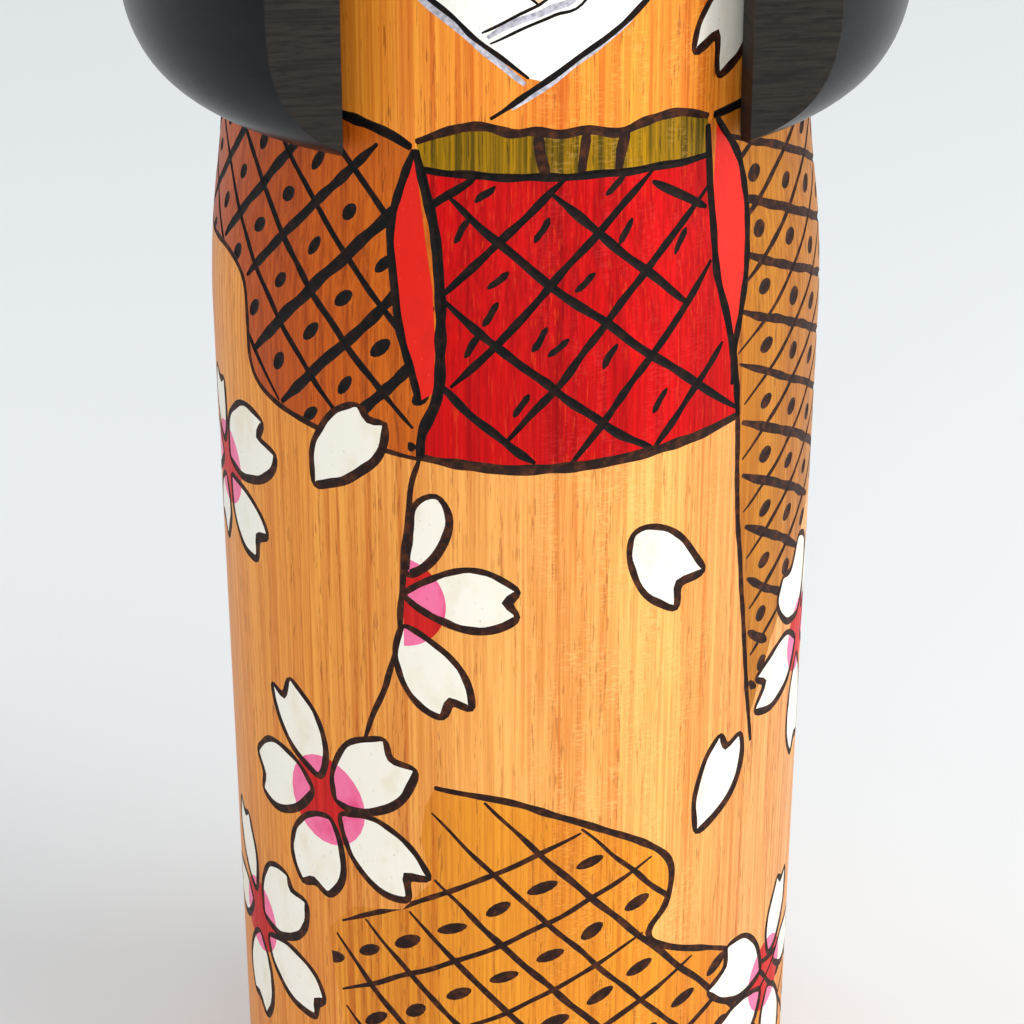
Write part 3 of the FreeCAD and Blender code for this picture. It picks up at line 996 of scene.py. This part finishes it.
class Value:
    """A number that varies over a surface, with the usual arithmetic."""

    def __init__(self, shader, socket):
        self.shader = shader
        self.socket = socket

    def __add__(self, other):
        return self.shader.math("ADD", self, other)

    def __sub__(self, other):
        return self.shader.math("SUBTRACT", self, other)

    def __rsub__(self, other):
        return self.shader.math("SUBTRACT", other, self)

    def __mul__(self, other):
        return self.shader.math("MULTIPLY", self, other)

    def __truediv__(self, other):
        return self.shader.math("DIVIDE", self, other)

    def __abs__(self):
        return self.shader.math("ABSOLUTE", self)


class Shader:
    """One node material under construction. Lengths inside it are millimetres on the object."""

    def __init__(self, name):
        self.material = bpy.data.materials.new(name)
        self.material.use_nodes = True
        self.tree = self.material.node_tree
        self.surface = self.tree.nodes["Principled BSDF"]
        coordinates = self.tree.nodes.new("ShaderNodeTexCoord")
        self.place = self.vector("MULTIPLY", coordinates.outputs["Object"], (1 / MM, 1 / MM, 1 / MM))
        split = self.tree.nodes.new("ShaderNodeSeparateXYZ")
        self.tree.links.new(self.place, split.inputs[0])
        self.x, self.y, self.z = (Value(self, socket) for socket in split.outputs)

    def put(self, socket, value):
        if isinstance(value, Value):
            value = value.socket
        if isinstance(value, bpy.types.NodeSocket):
            self.tree.links.new(value, socket)
        else:
            socket.default_value = value

    def operate(self, kind, operation, first, second):
        node = self.tree.nodes.new(kind)
        node.operation = operation
        self.put(node.inputs[0], first)
        self.put(node.inputs[1], second)
        return node.outputs[0]

    def vector(self, operation, first, second):
        return self.operate("ShaderNodeVectorMath", operation, first, second)

    def math(self, operation, first, second=0.0):
        return Value(self, self.operate("ShaderNodeMath", operation, first, second))

    def hypotenuse(self, across, up):
        return self.math("SQRT", across * across + up * up)

    def noise(self, across, along, detail=2.0, roughness=0.5, shift=0.0):
        """Soft noise whose spots are across mm wide and along mm tall."""
        stretched = self.vector("MULTIPLY", self.place, (1 / across, 1 / across, 1 / along))
        stretched = self.vector("ADD", stretched, (shift, shift * 0.7, shift * 1.3))
        node = self.tree.nodes.new("ShaderNodeTexNoise")
        self.tree.links.new(stretched, node.inputs["Vector"])
        node.inputs["Scale"].default_value = 1.0
        node.inputs["Detail"].default_value = detail
        node.inputs["Roughness"].default_value = roughness
        return Value(self, node.outputs["Fac"])

    def between(self, value, low, high):
        """0 below low, 1 above high, and smooth in between."""
        node = self.tree.nodes.new("ShaderNodeMapRange")
        node.interpolation_type = "SMOOTHSTEP"
        self.put(node.inputs["Value"], value)
        node.inputs["From Min"].default_value = low
        node.inputs["From Max"].default_value = high
        return Value(self, node.outputs["Result"])

    def mix(self, share, first, second, blend="MIX"):
        node = self.tree.nodes.new("ShaderNodeMix")
        node.data_type = "RGBA"
        node.blend_type = blend
        self.put(node.inputs[0], share)
        self.put(node.inputs[6], first)
        self.put(node.inputs[7], second)
        return node.outputs[2]

    def bump(self, height, strength, distance):
        node = self.tree.nodes.new("ShaderNodeBump")
        node.inputs["Strength"].default_value = strength
        node.inputs["Distance"].default_value = distance * MM
        self.put(node.inputs["Height"], height)
        self.tree.links.new(node.outputs[0], self.surface.inputs["Normal"])

    def finish(self, colour, roughness, coat=0.0, coat_roughness=0.1, specular=0.5):
        self.put(self.surface.inputs["Base Color"], colour)
        self.put(self.surface.inputs["Roughness"], roughness)
        self.surface.inputs["Coat Weight"].default_value = coat
        self.surface.inputs["Coat Roughness"].default_value = coat_roughness
        self.surface.inputs["Specular IOR Level"].default_value = specular
        return self.material


# The wood, in millimetres
PITH = (-68.0, -18.0)           # the tree's centre, beside the doll
RING_WIDTH = 1.9
RING_SWAY = 9.0
RAYS_BEGIN, RAYS_END = (-7, 3), (11, 24)        # across the front, where the ray flecks fade in and out
LEFT_SHADE_FADE, RIGHT_SHEEN_FADE = (2, -32), (12, 24)      # where the painted shade of the left side and the painted cool sheen of the right side fade in


def wood_grain(shader):
    """Grain values from 0 to 1: growth bands, fine fibres, and short dark vessels."""
    sway = shader.noise(9, 260, 3, 0.6) * RING_SWAY
    distance = shader.hypotenuse(shader.x - PITH[0], shader.y - PITH[1]) + sway
    phase = shader.math("FRACT", distance / RING_WIDTH)
    late = shader.between(phase, 0.3, 0.8) * (1 - shader.between(phase, 0.82, 1.0))
    # rings differ from one another: some years leave a strong band and some hardly any
    late = late * shader.between(shader.noise(3.2, 320, 2, 0.5, 4.0), 0.38, 0.66)
    fibre = shader.between(shader.noise(0.42, 60, 3, 0.7), 0.36, 0.64)
    vessel = shader.between(shader.noise(0.25, 3.2, 2, 0.55, 11.0), 0.57, 0.66)
    rows = shader.between(shader.noise(1.1, 240, 2, 0.5, 21.0), 0.44, 0.58)
    return late, fibre, vessel * (rows * 0.8 + 0.2)


def ray_flecks(shader):
    """Pale flecks on the front, where the cut met the wood's rays broadside."""
    ray = shader.between(shader.noise(0.9, 0.24, 1, 0.5, 3.0), 0.48, 0.62)
    patches = shader.between(shader.noise(2.2, 9, 1, 0.5, 31.0), 0.4, 0.62)
    front = shader.between(shader.x, *RAYS_BEGIN) * (1 - shader.between(shader.x, *RAYS_END))
    return ray * patches * front


def wood_material(name, pale, deep, vein, contrast=1.0, left_painted_shade=None, right_painted_sheen=None, coat=0.08,
                  roughness=0.42, rays=0.3, specular=0.2):
    """Varnished wood between a pale and a deep tone, with veins of a third colour. Where asked, it also has a
    painted shade on the left side and a painted cool sheen on the right side, a painted reflection of the
    pale room.
    """
    shader = Shader(name)
    late, fibre, vessel = wood_grain(shader)
    cloud = shader.between(shader.noise(7, 150, 2, 0.5, 5.0), 0.35, 0.68)
    tone = late * (0.38 * contrast) + fibre * (0.48 * contrast) + cloud * (0.28 * contrast)
    colour = shader.mix(tone, pale, deep)
    colour = shader.mix(vessel * (0.5 * contrast), colour, vein)
    fleck_colour = (*(min(1.0, 1.1 * channel + 0.07) for channel in pale[:3]), 1.0)
    colour = shader.mix(ray_flecks(shader) * rays, colour, fleck_colour)
    # painted light: the left side is darkened as painted shade, and the right side is cooled as a painted
    # reflection of the pale room
    for painted_light, edges in ((left_painted_shade, LEFT_SHADE_FADE), (right_painted_sheen, RIGHT_SHEEN_FADE)):
        if painted_light is not None:
            colour = shader.mix(shader.between(shader.x, *edges), colour, srgb(*painted_light), "MULTIPLY")
    shader.bump(fibre + late, 0.08, 0.04)
    return shader.finish(colour, fibre * 0.08 + roughness, coat, 0.14, specular)


def burnt_material(name, dark, brown, roughness, coat):
    """Charred line: nearly black where the tool rested, browner where it hurried."""
    shader = Shader(name)
    colour = shader.mix(shader.between(shader.noise(1.1, 1.1, 3, 0.6), 0.42, 0.72), dark, brown)
    shader.bump(shader.noise(0.35, 0.35, 2), 0.3, 0.05)
    return shader.finish(colour, roughness, coat, 0.15, 0.14)


def paint_material(name, colour, shadow, speck, roughness=0.42, speck_share=0.6):
    """Hand-laid paint: uneven cover, brush ridges and a few specks."""
    shader = Shader(name)
    cover = shader.between(shader.noise(3.2, 5.5, 3, 0.55), 0.45, 0.75)
    specks = shader.between(shader.noise(0.33, 0.6, 1, 0.5, 8.0), 0.72, 0.78)
    tone = shader.mix(cover * 0.8, colour, shadow)
    tone = shader.mix(specks * speck_share, tone, speck)
    shader.bump(shader.noise(0.5, 2.5, 3), 0.25, 0.05)
    return shader.finish(tone, roughness, 0.05, 0.2, 0.2)


def silver_material(name):
    """Silver paint, a little uneven."""
    shader = Shader(name)
    cover = shader.between(shader.noise(0.5, 0.5, 2), 0.35, 0.7)
    shader.surface.inputs["Metallic"].default_value = 0.6
    return shader.finish(shader.mix(cover, srgb(196, 192, 202), srgb(150, 148, 158)), 0.38)


WINDOW_HALF_WIDTH = 21.4        # the window sawn in the front of the bob, in millimetres
WINDOW_OFFSET = -0.9
WINDOW_BACK = (-20, -22)        # the window's walls end inside the bob, between these depths


def hair_material(name):
    """Satin black stain over fine turning marks, matt and browner where the bob was sawn flat."""
    shader = Shader(name)
    front_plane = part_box("hair_bob")[0].y / MM
    near_plane = 1 - shader.between(abs(shader.y - front_plane), 0.08, 0.16)
    from_wall = abs(abs(shader.x - WINDOW_OFFSET) - WINDOW_HALF_WIDTH)
    near_wall = (1 - shader.between(from_wall, 0.05, 0.12)) * shader.between(shader.y, *WINDOW_BACK)
    sawn = shader.math("MAXIMUM", near_plane, near_wall)
    streak = shader.between(shader.noise(6.0, 0.35, 3, 0.6), 0.3, 0.72)
    pores = shader.between(shader.noise(2.2, 0.5, 2, 0.5, 9.0), 0.55, 0.7)
    clouds = shader.between(shader.noise(9, 3, 3), 0.4, 0.7)
    sawn_tone = shader.mix(streak, srgb(27, 24, 21), srgb(46, 41, 36))
    sawn_tone = shader.mix(pores * 0.5, sawn_tone, srgb(18, 16, 14))
    satin_tone = shader.mix(clouds, srgb(8, 10, 12), srgb(16, 18, 21))
    shader.bump(shader.noise(30, 0.5, 2) + streak * sawn, 0.12, 0.05)
    return shader.finish(shader.mix(sawn, satin_tone, sawn_tone), sawn * 0.34 + 0.30, 0.0, 0.12, 0.17)


CHEEK_ACROSS = 12.0
CHEEK_HEIGHT = 182.5


def face_material(name):
    """Pale wood of the face with a breath of rouge on each cheek."""
    shader = Shader(name)
    late, fibre, vessel = wood_grain(shader)
    colour = shader.mix(fibre * 0.3 + late * 0.45, srgb(247, 221, 178), srgb(231, 192, 138))
    colour = shader.mix(vessel * 0.35, colour, srgb(206, 158, 102))
    front = shader.between(shader.y, -20, -26)
    for side in (-1, 1):
        distance = shader.hypotenuse(shader.x - side * CHEEK_ACROSS, shader.z - CHEEK_HEIGHT)
        rouge = shader.between(distance, 5.5, 0.5) * front * 0.42
        colour = shader.mix(rouge, colour, srgb(236, 132, 110))
    shader.bump(fibre, 0.06, 0.04)
    return shader.finish(colour, 0.4, 0.25, 0.15)


def bare_wood_material(name):
    """Unfinished turned dowel."""
    shader = Shader(name)
    late, fibre, _ = wood_grain(shader)
    colour = shader.mix(late * 0.5 + fibre * 0.4, srgb(214, 178, 130), srgb(178, 134, 86))
    shader.bump(fibre, 0.2, 0.05)
    return shader.finish(colour, 0.62)


# Colours are from 0 to 255. Varnished woods: pale tone, deep tone, vein, and what differs from plain varnish
WOODS = {
    # the left and right tones of body_wood and kimono_stain are painted shade on the left side and a painted
    # cool reflection on the right side
    "body_wood": ((252, 182, 98), (204, 113, 34), (142, 68, 18),
                  {"left_painted_shade": (240, 220, 160), "right_painted_sheen": (240, 240, 255)}),
    "chest_stain": ((254, 164, 54), (208, 98, 16), (140, 58, 12), {"contrast": 1.15}),
    "kimono_stain": ((232, 130, 30), (174, 78, 8), (92, 38, 8),
                     {"left_painted_shade": (212, 168, 90), "right_painted_sheen": (210, 240, 255), "specular": 0.12}),
    "hem_stain": ((232, 150, 34), (188, 96, 8), (120, 54, 8), {}),
    "obi": ((212, 10, 12), (134, 1, 6), (222, 60, 20),
            {"coat": 0.0, "roughness": 0.45, "rays": 0.12, "specular": 0.08}),
    "obiage": ((176, 128, 2), (78, 62, 2), (52, 42, 4), {"contrast": 1.3, "coat": 0.0, "specular": 0.1}),
    "flower_red": ((212, 36, 32), (170, 18, 20), (130, 18, 18), {"coat": 0.0, "specular": 0.1}),
    "neck_skin": ((250, 216, 182), (236, 186, 140), (200, 140, 96), {}),
}
# Paints: colour, shadow, speck, and what differs from plain paint
PAINTS = {
    "sleeve_lining": ((222, 24, 2), (208, 18, 2), (236, 70, 40), {"roughness": 0.36}),
    "collar": ((246, 243, 236), (238, 232, 220), (212, 200, 176), {}),
    "petals_white": ((240, 234, 221), (230, 219, 196), (190, 168, 132), {}),
    "petals_pink": ((238, 112, 156), (222, 52, 110), (204, 16, 64), {"speck_share": 0.9}),
    "face_lips": ((206, 44, 40), (182, 28, 32), (226, 84, 70), {}),
}
# Burnt and inked lines: dark tone, brown tone, and the finish
BURNS = {
    "burnt_lines": ((10, 7, 8), (36, 19, 12), {"roughness": 0.6, "coat": 0.0}),
    "drawn_lines": ((36, 18, 13), (78, 40, 22), {"roughness": 0.6, "coat": 0.0}),
    "face_ink": ((18, 16, 17), (40, 32, 30), {"roughness": 0.4, "coat": 0.3}),
}


def make_materials():
    """Every material of the doll, by the name of the piece or slot that wears it."""
    made = {
        "silver_lines": silver_material("silver_lines"),
        "hair_lacquer": hair_material("hair_lacquer"),
        "face_wood": face_material("face_wood"),
        "peg_wood": bare_wood_material("peg_wood"),
    }
    for table, maker in ((WOODS, wood_material), (PAINTS, paint_material), (BURNS, burnt_material)):
        for name, (*colours, options) in table.items():
            made[name] = maker(name, *(srgb(*colour) for colour in colours), **options)
    return made


# ---------------------------------------------------------------- floor, light and camera

def build_floor():
    """A plain pale floor, far wider than any view."""
    reach = 20.0
    corners = [(-reach, -reach, 0), (reach, -reach, 0), (reach, reach, 0), (-reach, reach, 0)]
    floor = make_object("floor", corners, [(0, 1, 2, 3)])
    material = bpy.data.materials.new("floor")
    material.use_nodes = True
    surface = material.node_tree.nodes["Principled BSDF"]
    surface.inputs["Base Color"].default_value = srgb(243, 245, 246)
    surface.inputs["Roughness"].default_value = 0.8
    floor.data.materials.append(material)


def area_light(name, place, target, size, power, colour):
    """A soft rectangular lamp, in metres and watts."""
    light = bpy.data.lights.new(name, "AREA")
    light.shape = "RECTANGLE"
    light.size, light.size_y = size
    light.energy = power
    light.color = colour
    lamp = bpy.data.objects.new(name, light)
    lamp.location = place
    lamp.rotation_euler = (Vector(target) - Vector(place)).to_track_quat("-Z", "Y").to_euler()
    bpy.context.scene.collection.objects.link(lamp)


def build_light():
    """A pale room, a window on the right, and weaker lamps in front, on the left and over the floor."""
    world = bpy.data.worlds.new("studio")
    world.use_nodes = True
    background = world.node_tree.nodes["Background"]
    background.inputs["Color"].default_value = srgb(242, 246, 248)
    background.inputs["Strength"].default_value = 0.70
    bpy.context.scene.world = world
    middle = (0, 0, 0.08)
    area_light("right_window", (0.95, -0.5, 0.35), middle, (0.7, 0.9), 6.6, (1.0, 0.985, 0.96))
    area_light("front_fill", (-0.1, -1.3, 0.35), middle, (0.8, 0.5), 4.2, (1.0, 0.99, 0.97))
    area_light("floor_wash", (0.42, -0.3, 0.85), (0.1, 0, 0), (0.5, 0.5), 2.4, (1.0, 1.0, 1.0))
    area_light("left_fill", (-0.95, 0.15, 0.4), middle, (0.4, 0.9), 1.2, (0.93, 0.96, 1.0))


CAMERA_PITCH = math.radians(26.0)
CAMERA_AZIMUTH = math.radians(-7.5)
CAMERA_DISTANCE = 0.4169
CAMERA_TARGET_HEIGHT = 0.0868
CAMERA_SIDESTEP = 0.00042
CAMERA_LENS = 122.5


def build_camera():
    """Camera in front and a little to the left, looking down on the body."""
    right = Vector((math.cos(CAMERA_AZIMUTH), math.sin(CAMERA_AZIMUTH), 0))
    target = Vector((0, 0, CAMERA_TARGET_HEIGHT)) - right * CAMERA_SIDESTEP
    back = Vector((math.sin(CAMERA_AZIMUTH) * math.cos(CAMERA_PITCH),
                   -math.cos(CAMERA_AZIMUTH) * math.cos(CAMERA_PITCH), math.sin(CAMERA_PITCH)))
    data = bpy.data.cameras.new("camera")
    data.lens = CAMERA_LENS
    data.sensor_width = 36.0
    data.clip_start = 0.01
    camera = bpy.data.objects.new("camera", data)
    camera.location = target + back * CAMERA_DISTANCE
    camera.rotation_euler = (-back).to_track_quat("-Z", "Y").to_euler()
    bpy.context.scene.collection.objects.link(camera)
    bpy.context.scene.camera = camera


def give(piece, material):
    """Makes a material the only one a piece wears."""
    piece.data.materials.clear()
    piece.data.materials.append(material)


materials = make_materials()
body_pieces = build_body()
for name, piece in body_pieces.items():
    give(piece, materials[name])
    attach(piece, "figure")
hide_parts("body")
for name, piece in build_face().items():
    give(piece, materials[name])
    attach(piece, "head")
give(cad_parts["hair_bob"], materials["hair_lacquer"])
give(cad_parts["head_core"], materials["face_wood"])
give(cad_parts["neck_peg"], materials["peg_wood"])

build_floor()
build_light()
build_camera()
bpy.context.scene.view_settings.view_transform = "Standard"


def plain(box):
    """A box's two corners as lists of plain numbers."""
    return [[float(value) for value in corner] for corner in box]
